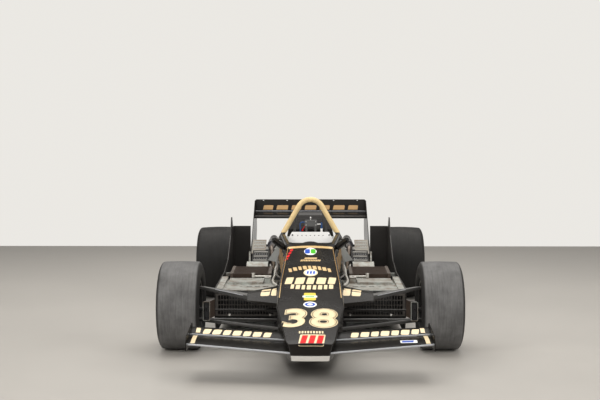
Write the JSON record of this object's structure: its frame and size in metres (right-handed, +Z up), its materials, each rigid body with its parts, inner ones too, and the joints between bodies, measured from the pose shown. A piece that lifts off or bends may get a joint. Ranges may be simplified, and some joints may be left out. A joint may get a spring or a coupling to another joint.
{
  "type": "open wheel racing car",
  "caption": "Ground effect single seat racing car with slick tyres, open engine, wings and side pods with their tops off.",
  "frame": {"origin": "on the ground at the middle of the car's length and width", "axes": "+Z up, +Y towards the tail, -Y towards the nose, +X towards the car's left side"},
  "size_m": [2.0634, 4.49, 0.9785],
  "materials": {
    "black_paint": "gloss black paint",
    "polished_lip": "polished",
    "screen_plastic": "dark tinted",
    "tank_shell": "bare sheet",
    "seat_shell": "moulded",
    "white_panel": "satin white",
    "dash_paint": "satin black",
    "frame_steel": "satin",
    "hoop_foam": "taped foam",
    "cast_metal": "cast alloy",
    "cam_cover_paint": "crackle",
    "machined_metal": "machined",
    "gauze": "fine wire mesh",
    "exhaust_steel": "heat tinted",
    "panel_grey": "brushed sheet",
    "grille_paint": "satin black",
    "radiator_fins": "dark brown fins",
    "radiator_ends": "dark brown",
    "duct_plastic": "satin black",
    "spring_paint": "yellow spring",
    "front_rubber": "matte slick",
    "rear_rubber": "matte slick",
    "wheel_metal": "satin gold",
    "wheel_leather": "wrapped"
  },
  "bodies": {
    "chassis": {"cam_covers": "cam_cover_paint", "coaming": "screen_plastic", "dash": "dash_paint", "deflector_panels": "black_paint", "engine_block": "cast_metal", "exhausts": "exhaust_steel", "front_endplates": "black_paint", "front_rocker_arms": "frame_steel", "front_wings": "black_paint", "front_wishbones": "frame_steel", "fuel_tank": "tank_shell", "gearbox": "cast_metal", "hoop_padding": "hoop_foam", "intake_screen": "gauze", "intake_trumpets": "machined_metal", "metering_box": "machined_metal", "mirrors": "black_paint", "nose_cone": "black_paint", "nose_lip": "polished_lip", "pod_ducts": "duct_plastic", "pod_floors": "panel_grey", "pod_frames": "panel_grey", "pod_grilles": "grille_paint", "pod_side_plates": "black_paint", "rack_housing": "machined_metal", "radiator_cores": "radiator_fins", "radiator_tanks": "radiator_ends", "rear_arms": "frame_steel", "rear_dampers": "spring_paint", "rear_endplates": "black_paint", "rear_uprights": "machined_metal", "rear_wing": "black_paint", "rear_wing_posts": "frame_steel", "rocker_housings": "black_paint", "roll_hoop": "frame_steel", "seat": "seat_shell", "seat_back_panel": "white_panel", "tub": "black_paint", "tunnel_roofs": "tank_shell", "upper_cowl": "black_paint"},
    "knuckle_left": {"front_left_upright": "machined_metal"},
    "knuckle_right": {"front_right_upright": "machined_metal"},
    "wheel_front_left": {"front_left_wheel": "wheel_metal", "front_left_tyre": "front_rubber"},
    "wheel_front_right": {"front_right_wheel": "wheel_metal", "front_right_tyre": "front_rubber"},
    "wheel_rear_left": {"rear_left_wheel": "wheel_metal", "rear_left_tyre": "rear_rubber"},
    "wheel_rear_right": {"rear_right_wheel": "wheel_metal", "rear_right_tyre": "rear_rubber"},
    "steering_wheel": {"steering_wheel": "wheel_leather"},
    "steering_rack": {"steering_rack": "machined_metal"}
  },
  "joints": [
    {"name": "steer_left", "type": "hinge", "parent": "chassis", "child": "knuckle_left", "pos_m": [0.785, -1.095, 0.2], "axis": [-0.0905, 0, 0.9959], "range_deg": [-15, 15]},
    {"name": "steer_right", "type": "hinge", "parent": "chassis", "child": "knuckle_right", "pos_m": [-0.785, -1.095, 0.2], "axis": [0.0905, 0, 0.9959], "range_deg": [-15, 15]},
    {"name": "steering_wheel_turn", "type": "hinge", "parent": "chassis", "child": "steering_wheel", "pos_m": [0, -0.19, 0.53], "axis": [0, 0.9539, 0.3001], "range_deg": [-150, 150]},
    {"name": "rack_slide", "type": "slide", "parent": "chassis", "child": "steering_rack", "axis": [1, 0, 0], "range_m": [-0.027, 0.027]},
    {"name": "spin_front_left", "type": "hinge", "parent": "knuckle_left", "child": "wheel_front_left", "pos_m": [0.8805, -1.095, 0.3], "axis": [1, 0, 0], "continuous": true},
    {"name": "spin_front_right", "type": "hinge", "parent": "knuckle_right", "child": "wheel_front_right", "pos_m": [-0.8805, -1.095, 0.3], "axis": [1, 0, 0], "continuous": true},
    {"name": "spin_rear_left", "type": "hinge", "parent": "chassis", "child": "wheel_rear_left", "pos_m": [0.816, 1.445, 0.325], "axis": [1, 0, 0], "continuous": true},
    {"name": "spin_rear_right", "type": "hinge", "parent": "chassis", "child": "wheel_rear_right", "pos_m": [-0.816, 1.445, 0.325], "axis": [1, 0, 0], "continuous": true}
  ],
  "couplings": [
    {"joint": "steer_right", "follows": "steer_left", "ratio": 1},
    {"joint": "steering_wheel_turn", "follows": "steer_left", "ratio": 10},
    {"joint": "rack_slide", "follows": "steer_left", "m_per_rad": -0.1}
  ]
}
